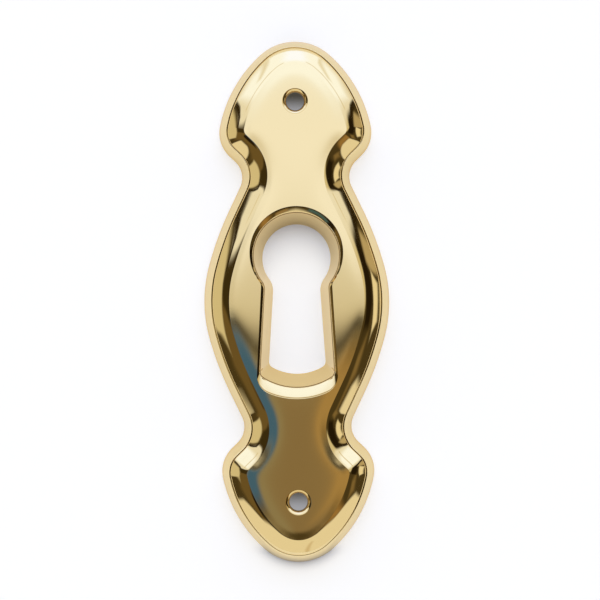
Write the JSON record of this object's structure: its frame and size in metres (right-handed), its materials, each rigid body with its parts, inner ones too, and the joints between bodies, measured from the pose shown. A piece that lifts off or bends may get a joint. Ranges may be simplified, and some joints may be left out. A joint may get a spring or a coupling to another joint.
{
  "type": "keyhole escutcheon",
  "caption": "Polished brass keyhole plate for a drawer or cabinet door: waisted outline, rounded raised face, turned-in keyhole and a pin hole near each end.",
  "frame": {"origin": "middle of the plate on the plane of its back edge", "axes": "+Y along the plate towards the keyhole's round head, +Z out of the face, away from the door"},
  "size_m": [0.023, 0.065, 0.0037],
  "materials": {
    "brass": "polished"
  },
  "bodies": {
    "root": {"escutcheon_plate": "brass"}
  },
  "joints": []
}
